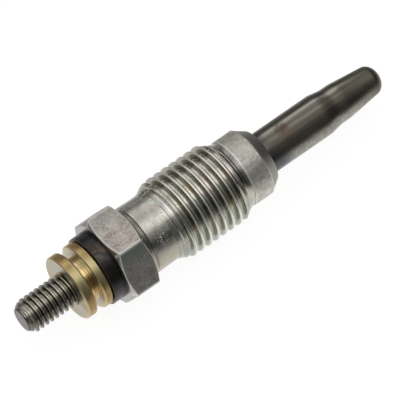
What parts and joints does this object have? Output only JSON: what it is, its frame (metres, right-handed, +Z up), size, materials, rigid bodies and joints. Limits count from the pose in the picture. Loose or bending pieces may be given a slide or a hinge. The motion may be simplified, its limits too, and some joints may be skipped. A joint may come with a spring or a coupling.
{
  "type": "diesel glow plug",
  "caption": "Sheathed diesel glow plug: closed heater tube in a threaded steel shell with a hexagon, black insulating washer, brass round nut and threaded terminal stud.",
  "frame": {"origin": "under the middle of the plug's length, on the surface that one flat of its hexagon lies on", "axes": "+X along the plug's axis from the terminal stud towards the hot tip, +Z up from the flat it lies on"},
  "size_m": [0.0594, 0.0138, 0.012],
  "materials": {
    "plated_steel": "plated steel, satin to bright",
    "stud_steel": "darkened steel with bright thread crests",
    "brass": "turned brass",
    "black_insulation": "moulded phenolic, satin",
    "seal_rubber": "matt",
    "tube_seal_rubber": "matt",
    "sheath_alloy": "drawn nickel alloy, heat tinted",
    "regulating_wire": "drawn wire",
    "heating_wire": "drawn wire, oxidised",
    "magnesia": "compacted powder"
  },
  "bodies": {
    "root": {"plug_shell": "plated_steel", "terminal_stud": "stud_steel", "round_nut": "brass", "insulating_washer": "black_insulation", "stud_seal": "seal_rubber", "tube_seal": "tube_seal_rubber", "heater_tube": "sheath_alloy", "regulating_coil": "regulating_wire", "heating_coil": "heating_wire", "insulating_powder": "magnesia"}
  },
  "joints": []
}
